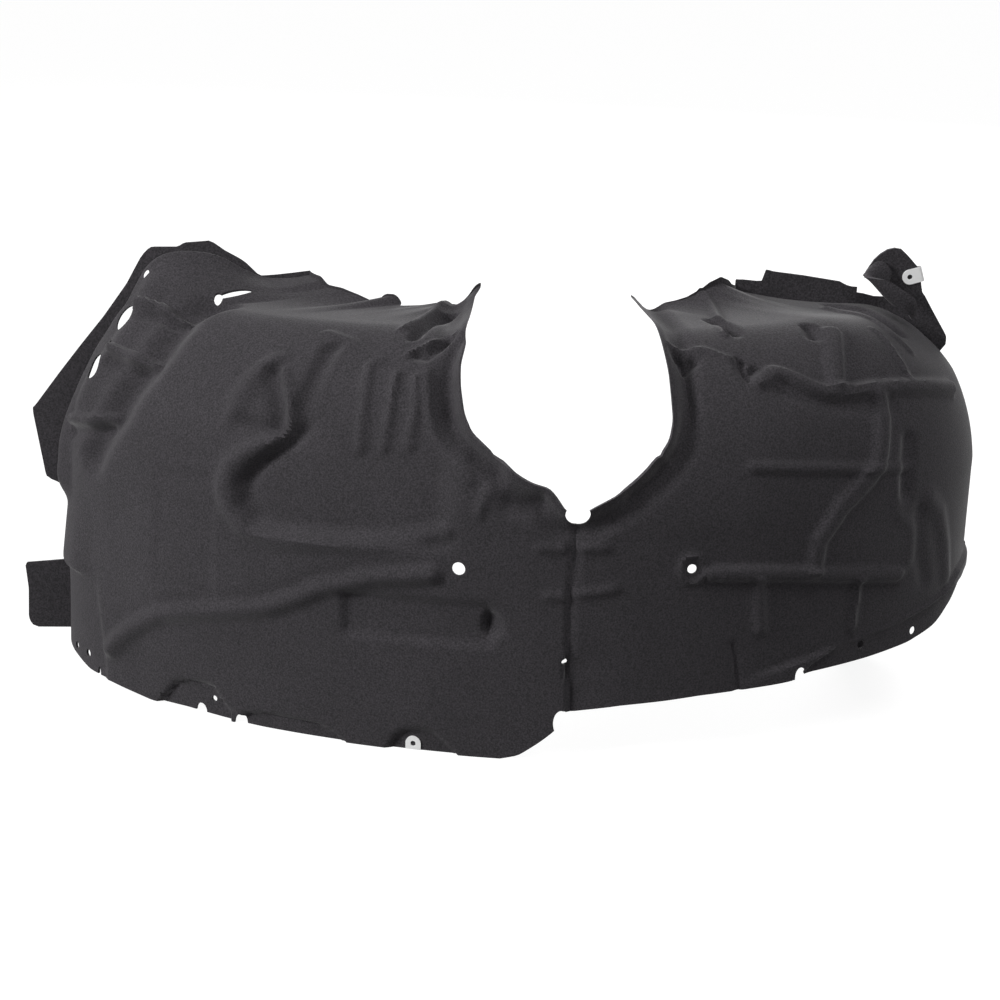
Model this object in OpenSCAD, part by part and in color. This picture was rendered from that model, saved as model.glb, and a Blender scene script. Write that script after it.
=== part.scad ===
/* [Arch] */
// Wheel axis to the end of the larger lobe
large_reach = 500; // [450:5:550]
// Wheel axis to the end of the smaller lobe
small_reach = 425; // [390:5:480]
// Wheel axis to the crown of the arch
crown_reach = 268; // [255:1:300]
// Outboard lip to the inboard wall
arch_height = 380; // [350:5:420]
// Inward lean of the tread wall for each millimetre of height
wall_draft = 0.04; // [0.02:0.01:0.06]
// Thickness of the moulded felt
felt_t = 3.5; // [2.5:0.5:5]

/* [Corner and inboard wall] */
// Reach of the round corner towards the wheel axis
corner_in = 125; // [105:1:140]
// Rise of the round corner
corner_up = 170; // [150:1:190]
// Width of the inboard wall past the corner
inboard_w = 120; // [90:1:125]

/* [Strut cut-out] */
// Half width of the cut-out at its widest
cutout_half_w = 97; // [80:1:110]
// Half width of the cut-out at the rear edge of the inboard wall
cutout_mouth = 72; // [55:1:80]
// Drop from the widest place to the bottom of the cut-out
cutout_drop = 83; // [70:1:95]
// Height of the widest place above the lip
cutout_z = 345; // [335:1:352]
// Height that the rim of the cut-out is turned out
rim_flare = 7; // [3:0.5:10]
// Width of the relief notch at the bottom of the cut-out
relief_d = 26; // [18:1:32]
// Depth of the relief notch
relief_drop = 36; // [26:1:45]

/* [Lip] */
// Height of the smaller lobe's lip at the crease
step_up = 47; // [30:1:60]
// Height of the smaller lobe's lip at its end
end_up = 88; // [75:1:100]
// Set-out of the fastening strip along the smaller lobe's lip
strip_out = 5; // [2:0.5:8]

/* [Relief] */
// Depth of the large pocket
pocket_depth = 10; // [5:1:14]
// Height of the stiffening ribs
rib_h = 6; // [3:0.5:9]
// Depth of the crease at the crown
crease_depth = 5; // [2:0.5:8]

/* [End flanges] */
// Width of the tab below the larger lobe's flange
tab_w = 43; // [25:1:60]
// Height of the flange along the inboard wall's ends
wall_flange = 20; // [10:1:30]

/* [Holes] */
// Diameter of the larger crown hole
crown_hole_d = 12.5; // [9:0.5:16]
// Diameter of the smaller crown hole
crown_pin_d = 9; // [6:0.5:12]
// Diameter of the two lip holes of the larger lobe
front_lip_d = 8; // [5:0.5:9]
// Distance between the lip holes of the larger lobe
front_lip_gap = 26; // [20:1:32]
// Diameter of the two lip holes of the smaller lobe
rear_lip_d = 8; // [5:0.5:9]
// Distance between the lip holes of the smaller lobe
rear_lip_gap = 66; // [50:1:80]
// Diameter of the two large holes in the end web
web_hole_d = 26; // [18:1:32]
// Distance between the two large holes in the end web
web_hole_gap = 58; // [40:1:66]

/* [Spring clips] */
// Width of a spring clip
clip_w = 15; // [12:0.5:18]
// Length of a spring clip's leaves
clip_l = 18; // [16:0.5:22]
// Thickness of the clip steel
clip_t = 0.8; // [0.6:0.1:1]
// Diameter of the screw hole in a clip
screw_d = 5; // [4:0.1:6]
// Height of the collar behind the screw hole
clip_collar = 3; // [2:0.5:4]
// Gap between the felt and a clip's leaves
clip_gap = 0.2; // [0.1:0.05:0.3]

/* [Hidden] */
$fn = 48;

felt_colour = [0.20, 0.195, 0.20];
steel_colour = [0.74, 0.74, 0.76];

// Roundness of each lobe in plan, 1 for an ellipse and more for a pointed end
large_point = 1.27;
small_point = 1;
// Share of the plan angle that is moved to the ends to even the columns out
plan_ease = 0.3;
// Length of each lobe along its lip
large_run = 590;
small_run = 550;

corner_z = arch_height - corner_up;
corner_run = 90 * PI / 180 * sqrt((pow(corner_in, 2) + pow(corner_up, 2)) / 2);
profile_run = corner_z + corner_run + inboard_w;

// Columns across each lobe and below the cut-out, and rows up the profile
large_cols = 30;
middle_cols = 12;
small_cols = 27;
flange_cols = 2;
wall_rows = 16;
corner_rows = 11;
inboard_rows = 4;
rows = wall_rows + corner_rows + inboard_rows;
first_body = flange_cols;
cut_left = first_body + large_cols;
cut_right = cut_left + middle_cols;
last_body = cut_right + small_cols;
cols = last_body + flange_cols;

// Where the cut-out's side rows start, as a share of its drop and half width
side_share = 0.707;
cut_corner_z = cutout_z - side_share * cutout_drop;

function clamp(x) = min(max(x, 0), 1);
function smooth(x) = let (t = clamp(x)) t * t * (3 - 2 * t);
function mix(a, b, t) = a + (b - a) * t;
function unit(v) = v / norm(v);

// The smooth form: u runs from -1 to 1 around the arch, s is the distance up the profile
function plan(u) =
    let (a = 90 * u * (1 - plan_ease + plan_ease * u * u),
         reach = u < 0 ? large_reach : small_reach,
         point = u < 0 ? large_point : small_point)
    [sign(sin(a)) * reach * pow(abs(sin(a)), point),
     -sign(cos(a)) * crown_reach * pow(abs(cos(a)), point)];
function corner_angle(s) = 90 * clamp((s - corner_z) / corner_run);
function inset(s) =
    wall_draft * min(s, corner_z) + corner_in * (1 - cos(corner_angle(s)))
    + max(0, s - corner_z - corner_run);
function rise(s) = min(s, corner_z) + corner_up * sin(corner_angle(s));
function smooth_point(u, s) =
    let (p = plan(u), g = 1 - inset(s) / norm(p)) [p.x * g, p.y * g, rise(s)];
function facing(u, s) =
    unit(cross(smooth_point(u + 0.002, s) - smooth_point(u - 0.002, s),
               smooth_point(u, s + 0.5) - smooth_point(u, s - 0.5)));
function profile_at(z) = z < corner_z ? z : corner_z + corner_run * asin((z - corner_z) / corner_up) / 90;
function run(u) = u * (u < 0 ? large_run : small_run);

// Height of the lip: level under the larger lobe, stepped up at the crease and rising to the end
function lip(u) = u < 0
    ? lookup(run(u), [[-590, 20], [-540, 12], [-480, 6], [-437, 0], [-80, 0], [-46, 16], [-9, 34], [0, 38]])
    : mix(step_up, end_up, lookup(run(u), [[0, 0], [60, 0.2], [190, 0.32], [336, 0.63], [430, 1], [550, 1]]));

// Relief shapes in the unrolled sheet: q along the arch from the crown, s up the profile
function to_segment(p, a, b) = let (t = clamp((p - a) * (b - a) / pow(norm(b - a), 2))) norm(p - a - (b - a) * t);
function ridge(p, path, half) =
    smooth(1 - min([for (k = [0:len(path) - 2]) to_segment(p, path[k], path[k + 1])]) / half);
function dimple(p, centre, r) = smooth(1.4 * (1 - norm(p - centre) / r));
function patch(p, low, high, edge) =
    smooth((p.x - low.x) / edge) * smooth((high.x - p.x) / edge)
    * smooth((p.y - low.y) / edge) * smooth((high.y - p.y) / edge);

swage = [[-469, 55], [-426, 93], [-385, 106], [-330, 123], [-301, 140], [-282, 152], [-235, 168], [-178, 177]];
web_valley = [[-505, 215], [-500, 290], [-515, 360], [-540, 425], [-560, 480]];
rim_valley = [[-217, 355], [-193, 317], [-174, 294], [-140, 275]];
upper_rib = [[248, 344], [274, 351], [288, 346], [300, 332], [352, 324], [398, 315], [485, 294]];
corner_rib = [[381, 394], [323, 327]];
bent_rib = [[370, 310], [347, 258], [334, 248], [298, 225], [274, 197], [269, 169]];
middle_rib = [[212, 265], [289, 258], [378, 246]];
lower_rib = [[162, 176], [253, 167], [361, 149]];

function large_relief(p) =
    -pocket_depth * patch(p, [-368, 180], [-152, 345], 22)
    + 0.4 * pocket_depth * ridge(p, [[-280, 357], [-251, 289], [-254, 250]], 14)
    + 0.4 * pocket_depth * ridge(p, [[-230, 331], [-204, 260]], 14)
    - 10 * ridge(p, [[-357, 336], [-335, 289]], 24)
    + rib_h * ridge(p, [[-333, 377], [-347, 345]], 16)
    - 8 * ridge(p, [[-285, 418], [-350, 545]], 22)
    - 6 * ridge(p, [[-246, 380], [-221, 423]], 18)
    - 6 * ridge(p, rim_valley, 16)
    + 1.2 * rib_h * ridge(p, swage, 18)
    + 0.6 * rib_h * patch(p, [-262, 100], [-108, 150], 12)
    - 7 * dimple(p, [-112, 129], 18)
    - 12 * ridge(p, web_valley, 34);
function small_relief(p) =
    rib_h * ridge(p, upper_rib, 14)
    + rib_h * ridge(p, corner_rib, 14)
    + rib_h * ridge(p, bent_rib, 14)
    + 0.9 * rib_h * ridge(p, middle_rib, 13)
    + 0.9 * rib_h * ridge(p, lower_rib, 14)
    + 0.8 * rib_h * ridge(p, [[208, 159], [208, 115]], 13)
    + 0.8 * rib_h * ridge(p, [[313, 148], [315, 110]], 13)
    - 8 * dimple(p, [293, 452], 30)
    - 7 * dimple(p, [233, 368], 24)
    - 6 * dimple(p, [171, 372], 20)
    - 6 * dimple(p, [392, 259], 22)
    - 6 * ridge(p, [[371, 240], [377, 205]], 14)
    + rib_h * ridge(p, [[418, 204], [382, 155]], 18)
    - 10 * smooth((p.x - 410) / 100);
function strip(p) = strip_out * smooth((p.x - 150) / 80)
    * smooth((lookup(p.x, [[205, 70], [282, 86], [333, 95], [367, 98], [422, 108]]) - p.y) / 8 + 0.5);
function relief(u, s) =
    let (p = [run(u), s])
    (u < 0 ? large_relief(p) : small_relief(p) + strip(p))
    - crease_depth * ridge(p, [[0, -20], [13, 235]], 11);

// The cut-out: its side for a place on the profile, and the height of its bottom edge
function cutout_side(s) =
    let (z = rise(s), past = s - corner_z - corner_run)
    z < cutout_z ? cutout_half_w * sqrt(1 - pow((cutout_z - z) / cutout_drop, 2))
    : past <= 0 ? mix(cutout_half_w, cutout_half_w - 9, (z - cutout_z) / (arch_height - cutout_z))
    : mix(cutout_half_w - 9, cutout_mouth, past / inboard_w);
function cutout_bottom(x) = cutout_z - cutout_drop * sqrt(1 - pow(x / cutout_half_w, 2));

// The place around the arch where a row of the sheet meets a given x
function u_at(x, s, near = 0, far = 1, left = 14) =
    let (half = (near + far) / 2)
    left == 0 ? sign(x) * half
    : abs(smooth_point(sign(x) * half, s).x) < abs(x) ? u_at(x, s, half, far, left - 1)
    : u_at(x, s, near, half, left - 1);
side_s = profile_at(cut_corner_z);
function cut_u(side, s) = u_at(side * cutout_side(max(s, side_s)), max(s, side_s));

function row_s(j) =
    j <= wall_rows ? side_s * j / wall_rows
    : j <= wall_rows + corner_rows ? mix(side_s, corner_z + corner_run, (j - wall_rows) / corner_rows)
    : corner_z + corner_run + inboard_w * (j - wall_rows - corner_rows) / inboard_rows;
function across(i, j) =
    let (s = row_s(j), l = cut_u(-1, s), r = cut_u(1, s))
    i <= cut_left ? mix(-1, l, (i - first_body) / large_cols)
    : i <= cut_right ? mix(l, r, (i - cut_left) / middle_cols)
    : mix(r, 1, (i - cut_right) / small_cols);
function up(i, j, u) =
    let (x = mix(-1, 1, clamp((i - cut_left) / middle_cols)) * side_share * cutout_half_w,
         top = i > cut_left && i < cut_right ? profile_at(cutout_bottom(x)) : side_s)
    j <= wall_rows ? mix(lip(u), top, j / wall_rows) : row_s(j);
function flare(i, j, s) =
    let (beside = min(abs(i - cut_left), abs(i - cut_right)), below = wall_rows - j)
    j >= wall_rows ? (beside == 0 ? rim_flare : beside == 1 ? 0.25 * rim_flare : 0)
    : i >= cut_left && i <= cut_right ? (below == 1 ? 0.25 * rim_flare : 0) : 0;

// The end flanges stand out from the ends of the profile, in the plane of the wheel axis
function outward(side, s) = let (n = facing(side, s)) unit([n.x, 0, n.z]);
large_flange = [[185, 24], [250, 38], [270, 29], [290, 23], [330, 18], [370, 24], [400, 37], [416, 50],
                [458, 54], [494, 42], [508, 24], [520, wall_flange]];
flap = [[330, 4], [377, 20], [386, 30], [397, 40], [411, 51], [420, 49], [430, 38], [440, 16], [456, 9],
        [463, 12], [528, wall_flange]];
tab_s = [32, 102];
small_tab_s = [85, 128];
small_tab_w = 1;
function flange_w(side, s) =
    side < 0 ? (s < tab_s[1] + 30 ? tab_w : lookup(s, large_flange))
    : (s < small_tab_s[1] + 30 ? small_tab_w : lookup(s, flap));
function has_flange(side, s) =
    side < 0 ? (s > tab_s[0] && s < tab_s[1]) || s > large_flange[0][0] - 5
    : (s > small_tab_s[0] && s < small_tab_s[1]) || s > flap[0][0] - 5;
function flange_edge(side, s) = smooth_point(side, s) + outward(side, s) * flange_w(side, s);

function body_point(i, j) =
    let (u = across(i, j), s = up(i, j, u), n = facing(u, s))
    [smooth_point(u, s) + n * (relief(u, s) + flare(i, j, s)), n];
function flange_point(i, j) =
    let (side = i < first_body ? -1 : 1,
         share = side < 0 ? (first_body - i) / flange_cols : (i - last_body) / flange_cols,
         edge = body_point(side < 0 ? first_body : last_body, j))
    [mix(edge[0], flange_edge(side, up(i, j, side)), share), [0, -1, 0]];
function sheet_point(i, j) =
    i < first_body || i > last_body ? flange_point(i, j)
    : let (p = body_point(i, j), side = i == first_body ? -1 : i == last_body ? 1 : 0)
      side != 0 && has_flange(side, up(i, j, side)) ? [p[0], outward(side, up(i, j, side)) + [0, -1, 0]] : p;

sheet = [for (i = [0:cols]) [for (j = [0:rows]) sheet_point(i, j)]];
xs = [for (column = sheet) for (p = column) p[0].x];
ys = [for (column = sheet) for (p = column) p[0].y];
origin = [(min(xs) + max(xs)) / 2, (min(ys) + max(ys) + felt_t) / 2, 0];

function row_middle(i, j, side) = (up(i, j, side) + up(i, j + 1, side)) / 2;
function kept(i, j) =
    i >= 0 && i < cols && j >= 0 && j < rows
    && (i < first_body ? has_flange(-1, row_middle(first_body, j, -1))
        : i >= last_body ? has_flange(1, row_middle(last_body, j, 1))
        : !(i >= cut_left && i < cut_right && j >= wall_rows));

// A sheet of even thickness through a grid of points, open wherever a cell is left out
module formed_sheet() {
    line = rows + 1;
    back = (cols + 1) * line;
    front_points = [for (column = sheet) for (p = column) p[0]];
    back_points = [for (column = sheet) for (p = column) p[0] - p[1] * felt_t];
    cells = [for (i = [0:cols - 1]) for (j = [0:rows - 1]) if (kept(i, j)) [i, j]];
    faces = [for (c = cells) let (
            i = c.x, j = c.y,
            a = i * line + j, b = a + line, d = a + 1, e = b + 1)
        each concat(
            [[a, d, e], [a, e, b], [back + a, back + e, back + d], [back + a, back + b, back + e]],
            kept(i - 1, j) ? [] : [[a, back + a, back + d], [a, back + d, d]],
            kept(i + 1, j) ? [] : [[b, e, back + e], [b, back + e, back + b]],
            kept(i, j - 1) ? [] : [[a, b, back + b], [a, back + b, back + a]],
            kept(i, j + 1) ? [] : [[d, back + d, back + e], [d, back + e, e]])];
    polyhedron(concat(front_points, back_points), faces);
}

// Places its children on the sheet with x along the arch, y up the profile and z facing out
module on_sheet(q, s, lift = 0) {
    u = q / (q < 0 ? large_run : small_run);
    z = facing(u, s);
    x = unit(smooth_point(u + 0.002, s) - smooth_point(u - 0.002, s));
    y = cross(z, x);
    o = smooth_point(u, s) + z * lift;
    multmatrix([[x.x, y.x, z.x, o.x], [x.y, y.y, z.y, o.y], [x.z, y.z, z.z, o.z], [0, 0, 0, 1]]) children();
}
module drill(q, s, d) { on_sheet(q, s) cylinder(h = 60, d = d, center = true); }
module drill_pair(gap, d) { for (k = [-0.5, 0.5]) translate(k * gap) cylinder(h = 60, d = d, center = true); }
module notch(q, w, depth) {
    on_sheet(q, lip(q / (q < 0 ? large_run : small_run)))
        translate([-w / 2, -20, -30]) cube([w, 20 + depth, 60]);
}

// Where the clips sit: the place along the larger lobe's lip, and the stretch of the flap's edge
lip_clip_q = -196;
flap_clip_s = [385, 399];
clip_screw_y = clip_l - clip_w / 2;
module on_lip_seat() { on_sheet(lip_clip_q, 0, clip_gap) translate([0, -0.3, 0]) children(); }
module on_flap_seat() {
    low = flange_edge(1, flap_clip_s[0]);
    high = flange_edge(1, flap_clip_s[1]);
    along = unit(high - low);
    inward = [-along.z, 0, along.x];
    o = (low + high) / 2 - inward * 0.5 - [0, clip_gap, 0];
    multmatrix([[inward.z, inward.x, 0, o.x], [0, 0, -1, o.y], [-inward.x, inward.z, 0, o.z], [0, 0, 0, 1]])
        children();
}
module clip_clearance() { translate([0, clip_screw_y, -30]) cylinder(h = 60, d = screw_d + 3); }

module liner() {
    color(felt_colour) translate(-origin) difference() {
        union() {
            formed_sheet();
            return_panel();
        }
        relief_notch();
        drill(-145, 180, crown_hole_d);
        drill(139, 181, crown_pin_d);
        drill(-3, 94, 5);
        on_sheet(-531, 24) drill_pair([front_lip_gap, 0], front_lip_d);
        on_sheet(353, 86) drill_pair([rear_lip_gap, 0], rear_lip_d);
        on_sheet(-566, 334) drill_pair([0, web_hole_gap], web_hole_d);
        drill(-379, 15, 6);
        on_lip_seat() clip_clearance();
        on_flap_seat() clip_clearance();
        notch(-391, 12, 7);
        notch(-353, 9, 9);
        notch(-5, 10, 12);
        notch(253, 9, 9);
    }
}

// The round-bottomed slot that opens into the bottom of the cut-out, where the lobes hinge
module relief_notch() {
    bottom = cutout_z - cutout_drop;
    translate([11, 0, bottom - relief_drop + relief_d / 2]) rotate([90, 0, 0])
        cylinder(h = crown_reach + 40, d = relief_d);
    translate([11 - relief_d / 2, -crown_reach - 40, bottom - relief_drop + relief_d / 2])
        cube([relief_d, crown_reach + 40, relief_drop]);
}

// The return at the hidden end of the smaller lobe, which reaches down to the floor
module return_panel() {
    edge = small_reach - 14;
    translate([0, 2, 0]) rotate([90, 0, 0]) linear_extrude(felt_t)
        polygon([[edge, 190], [edge, 96], [322, 0], [286, 0], [286, 40], [340, 190]]);
}

// A sheet-steel spring clip that grips the felt between two leaves, with its screw hole
module spring_clip() {
    grip = felt_t + 2 * clip_gap;
    bend = grip / 2 + clip_t;
    difference() {
        union() {
            for (z = [0, -grip - clip_t]) translate([-clip_w / 2, 0, z]) cube([clip_w, clip_screw_y, clip_t]);
            for (z = [0, -grip - clip_t]) translate([0, clip_screw_y, z]) cylinder(h = clip_t, d = clip_w);
            intersection() {
                translate([-clip_w / 2, 0, -grip / 2]) rotate([0, 90, 0]) difference() {
                    cylinder(h = clip_w, r = bend);
                    translate([0, 0, -1]) cylinder(h = clip_w + 2, r = grip / 2);
                }
                translate([-clip_w, -2 * bend, -2 * bend - grip]) cube([2 * clip_w, 2 * bend, 4 * bend + grip]);
            }
            translate([0, clip_screw_y, -grip - clip_t - clip_collar]) cylinder(h = clip_collar, d = screw_d + 3);
        }
        translate([0, clip_screw_y, -grip - 10]) cylinder(h = grip + 20, d = screw_d);
    }
}
module lip_clip() { color(steel_colour) translate(-origin) on_lip_seat() spring_clip(); }
module flap_clip() { color(steel_colour) translate(-origin) on_flap_seat() spring_clip(); }

liner();
lip_clip();
flap_clip();
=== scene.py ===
import math

import bpy
import numpy as np
from mathutils import Matrix, Vector, kdtree


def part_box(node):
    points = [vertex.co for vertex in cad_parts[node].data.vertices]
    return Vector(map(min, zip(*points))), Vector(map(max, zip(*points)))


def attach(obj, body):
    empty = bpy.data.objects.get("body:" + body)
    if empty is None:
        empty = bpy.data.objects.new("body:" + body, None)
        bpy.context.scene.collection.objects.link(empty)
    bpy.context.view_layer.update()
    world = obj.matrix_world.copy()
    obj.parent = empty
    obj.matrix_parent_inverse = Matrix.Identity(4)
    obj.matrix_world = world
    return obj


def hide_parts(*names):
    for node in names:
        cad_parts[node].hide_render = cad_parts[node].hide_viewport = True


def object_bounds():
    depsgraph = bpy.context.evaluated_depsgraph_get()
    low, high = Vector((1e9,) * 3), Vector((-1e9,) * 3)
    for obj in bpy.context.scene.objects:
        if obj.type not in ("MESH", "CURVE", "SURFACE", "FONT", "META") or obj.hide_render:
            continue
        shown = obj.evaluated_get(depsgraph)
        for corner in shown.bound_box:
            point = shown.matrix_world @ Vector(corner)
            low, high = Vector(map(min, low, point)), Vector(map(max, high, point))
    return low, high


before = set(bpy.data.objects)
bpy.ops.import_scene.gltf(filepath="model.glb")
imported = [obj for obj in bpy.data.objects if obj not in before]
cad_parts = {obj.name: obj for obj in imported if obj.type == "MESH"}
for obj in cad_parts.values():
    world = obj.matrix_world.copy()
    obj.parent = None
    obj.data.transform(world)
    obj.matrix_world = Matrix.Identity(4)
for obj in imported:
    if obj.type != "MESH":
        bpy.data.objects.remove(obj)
cad_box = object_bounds()
bpy.ops.object.select_all(action="DESELECT")

# ---------------------------------------------------------------- the felt liner
# The liner itself: one blank of needle-punched polyester felt, 3.5 mm thick, pressed hot over a
# mould that gives it the arch, the corner and the ribs, then trimmed and punched.
# The blank is a flat grid. No operator presses a sheet over a mould, so its points are moved in code.

# Sizes are in millimetres: how far the mould reaches from the wheel axis, how long each lobe is when
# unrolled, and the profile, which goes up the wall, over the corner and across the inboard wall.
mm = 0.001
large_reach, small_reach, crown_reach = 500.0, 425.0, 268.0
large_run, small_run = 590.0, 550.0
wall_draft, corner_in, corner_z, corner_up = 0.04, 125.0, 210.0, 170.0
corner_run = math.pi / 2 * math.sqrt((corner_in ** 2 + corner_up ** 2) / 2)
inboard_w = 120.0
felt_t = 3.5

# the wheel axis, from the tip of the larger lobe and the back of the end flanges, in metres
tip_to_axis, back_to_axis = 0.5415, 0.0035
low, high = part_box("liner")
axis = Vector((low.x + tip_to_axis, high.y - back_to_axis, 0.0))


# A soft step from 0 to 1
def smooth(x):
    x = np.clip(x, 0, 1)
    return x * x * (3 - 2 * x)


# Sizes set out at stations along the felt, with their corners rounded over blur millimetres
def table(x, pairs, blur=0.0):
    xs, ys = zip(*pairs)
    if not blur:
        return np.interp(x, xs, ys)
    return sum(np.interp(x + blur * k, xs, ys) for k in (-1, -0.6, -0.2, 0.2, 0.6, 1)) / 6


# The arch in plan, with u from -1 at the larger end over 0 at the crown to 1 at the smaller end: its turn
# quickens towards the ends, and the larger lobe is the more pointed one
even_turn, late_turn, large_point, small_point = 0.7, 0.3, 1.27, 1.0


def plan(u):
    turn = np.radians(90 * u * (even_turn + late_turn * u * u))
    reach = np.where(u < 0, large_reach, small_reach)
    point = np.where(u < 0, large_point, small_point)
    s, c = np.sin(turn), np.clip(np.cos(turn), 0, 1)
    return np.sign(s) * reach * np.abs(s) ** point, -crown_reach * c ** point


# The plain mould, without its relief, at u along the arch and s up the profile
def mould(u, s):
    x, y = plan(u)
    turn = np.clip((s - corner_z) / corner_run, 0, 1) * math.pi / 2
    inset = (wall_draft * np.minimum(s, corner_z) + corner_in * (1 - np.cos(turn))
             + np.maximum(0, s - corner_z - corner_run))
    g = 1 - inset / np.hypot(x, y)
    return np.stack([x * g, y * g, np.minimum(s, corner_z) + corner_up * np.sin(turn)], -1)


def unit(v):
    return v / np.maximum(np.linalg.norm(v, axis=-1, keepdims=True), 1e-9)


# The direction square to the mould, outwards
u_step, s_step = 0.002, 0.5


def facing(u, s):
    u = np.clip(u, u_step - 1, 1 - u_step)
    across = mould(u + u_step, s) - mould(u - u_step, s)
    return unit(np.cross(across, mould(u, s + s_step) - mould(u, s - s_step)))


# The place on the profile at which the mould reaches the height z
def profile_at(z):
    return np.where(z < corner_z, z, corner_z + corner_run * np.degrees(
        np.arcsin(np.clip((z - corner_z) / corner_up, 0, 1))) / 90)


# The trimmed edges: the lip below, the strut cut-out and the rear edge of the inboard wall.
# Places along the felt are given as q, the millimetres from the crown along the unrolled arch.
def lip(q):
    large = table(q, [(-590, 20), (-565, 16), (-540, 12), (-515, 6), (-480, 5), (-437, -1), (-404, 0),
                      (-366, -2), (-299, -4), (-204, -7), (-146, -7), (-111, -5), (-78, 1), (-46, 16),
                      (-9, 34), (0, 38)], 3)
    small = table(q, [(0, 44), (60, 51), (110, 54), (147, 57), (190, 59), (243, 63.5), (264, 68), (330, 72),
                      (377, 76), (415, 84), (440, 93), (470, 99), (500, 102), (550, 104)], 4)
    return np.where(q < 0, large, small)


# The sides of the cut-out start at side_s on the profile, and are given as place on the profile and
# across; its bottom is given as across and up, and is read off at bottom_s. The rear edge stands up by
# upstand and is cut back by rear_trim.
side_s, bottom_s = 279.4, 255.0
cut_left_side = [(279.4, -65), (297, -87), (313, -94), (340, -97.5), (366, -97.5), (387, -94), (450, -89),
                 (536, -84), (565, -78)]
cut_right_side = [(279.4, 85.5), (292, 95), (309, 97.5), (355, 94.5), (390, 90), (450, 83), (506, 74),
                  (565, 66)]
cut_bottom = [(-65, 284), (-56, 278.5), (-44, 270), (-32, 264), (-14, 259), (-4, 246), (0, 239), (20, 239),
              (23, 241.5), (34, 247), (46, 253), (62, 264), (76, 276), (85.5, 286)]
upstand = [(-590, 23), (-541, 21), (-527, 14), (-504, 13), (-481, 8), (-460, 1.5), (-449, 11), (-437, 11),
           (-428, 2), (-417, 1.5), (-404, 1.5), (-389, 4), (-376, 4), (-361, 8), (-345, 16), (-290, 15),
           (-235, 8), (200, 6), (302, 4), (330, 1), (381, 6), (402, 9), (428, 17), (446, 25), (472, 32),
           (495, 29), (508, 24), (550, 17)]
rear_trim = [(-430, 0), (-417, 14), (-404, 4), (-395, 0)]


# The u at which the mould stands x to the side of the wheel axis, found by halving
def u_at(x, s):
    near, far = np.zeros_like(s), np.ones_like(s)
    for _ in range(24):
        half = (near + far) / 2
        short = np.abs(mould(np.sign(x) * half, s)[..., 0]) < np.abs(x)
        near, far = np.where(short, half, near), np.where(short, far, half)
    return np.sign(x) * half


# Shapes of the pressed relief, in the unrolled felt: how far each place lies from a path
def to_path(q, s, path):
    nearest = np.full(q.shape, 1e9)
    for (aq, az), (bq, bz) in zip(path, path[1:]):
        dq, dz = bq - aq, bz - az
        t = np.clip(((q - aq) * dq + (s - az) * dz) / (dq * dq + dz * dz), 0, 1)
        nearest = np.minimum(nearest, np.hypot(q - aq - dq * t, s - az - dz * t))
    return nearest


# A soft ridge, or a valley where its height is less than nothing
def ridge(q, s, path, half):
    return smooth(1 - to_path(q, s, path) / half)


def dimple(q, s, centre, r):
    return smooth(1.4 * (1 - np.hypot(q - centre[0], s - centre[1]) / r))


def patch(q, s, low_corner, high_corner, edge):
    return (smooth((q - low_corner[0]) / edge) * smooth((high_corner[0] - q) / edge)
            * smooth((s - low_corner[1]) / edge) * smooth((high_corner[1] - s) / edge))


# A pressed rib: flat along its top and steep at its sides
def rib(q, s, path, half):
    return smooth(1.45 * (1 - to_path(q, s, path) / half))


# A place along the lip that is pressed in, with its upper border given along the arch
def recess(q, s, border, edge):
    first, last = border[0], border[-1]
    border = [(first[0] - 1, -40)] + border + [(last[0] + 1, -40)]
    return smooth((table(q, border, 1.5) - s) / edge)


# Pressed marks, each with its height, half its width and its path
def press(h, q, s, shape, marks):
    for height, half, path in marks:
        h = h + height * shape(q, s, path, half)
    return h


pocket_marks = [
    (5.5, 13, [(-324, 275), (-339, 273), (-353, 264), (-365, 252), (-369, 232), (-363, 212), (-349, 196),
               (-325, 191), (-301, 192), (-235, 199), (-195, 205), (-165, 214)]),
    (-7, 13, [(-329, 380), (-323, 356), (-320, 332), (-317, 309), (-314, 292), (-321, 277)]),
    (-3.5, 10, [(-321, 277), (-333, 263), (-345, 249), (-352, 236), (-351, 216), (-343, 204)]),
    (-7, 12, [(-361, 342), (-347, 319), (-338, 304), (-332, 290)]),
    (-4, 12, [(-368, 290), (-350, 284), (-338, 284)]),
    (4, 8, [(-352, 345), (-336, 321), (-327, 305), (-322, 289)]),
    (4.5, 15, [(-366, 356), (-371, 345), (-374, 325), (-375, 308), (-372, 292)]),
    (4.5, 9, [(-280, 360), (-267, 320), (-258, 278)]),
    (4.5, 8, [(-248, 352), (-239, 313), (-236, 280)]),
    (4.5, 9, [(-226, 350), (-214, 318), (-212, 284)]),
    (2.5, 8, [(-350, 403), (-319, 391), (-294, 376), (-272, 367)])]
large_fold_marks = [
    (-9, 17, [(-200, 400), (-190, 350), (-176, 318), (-158, 296), (-138, 281), (-110, 268)]),
    (3, 8, [(-217, 355), (-200, 317), (-186, 292), (-165, 272), (-140, 258)]),
    (-8, 12, [(-262, 408), (-277, 450), (-305, 500)]),
    (4, 8, [(-286, 420), (-295, 452), (-325, 502), (-372, 558)]),
    (-6, 11, [(-240, 378), (-228, 376), (-225, 393), (-222, 412)]),
    (3, 6, [(-250, 379), (-240, 389), (-232, 402), (-220, 420)]),
    (-5, 14, [(-95, 240), (-70, 238), (-45, 241)]),
    (3, 10, [(-118, 250), (-128, 232)])]


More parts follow.
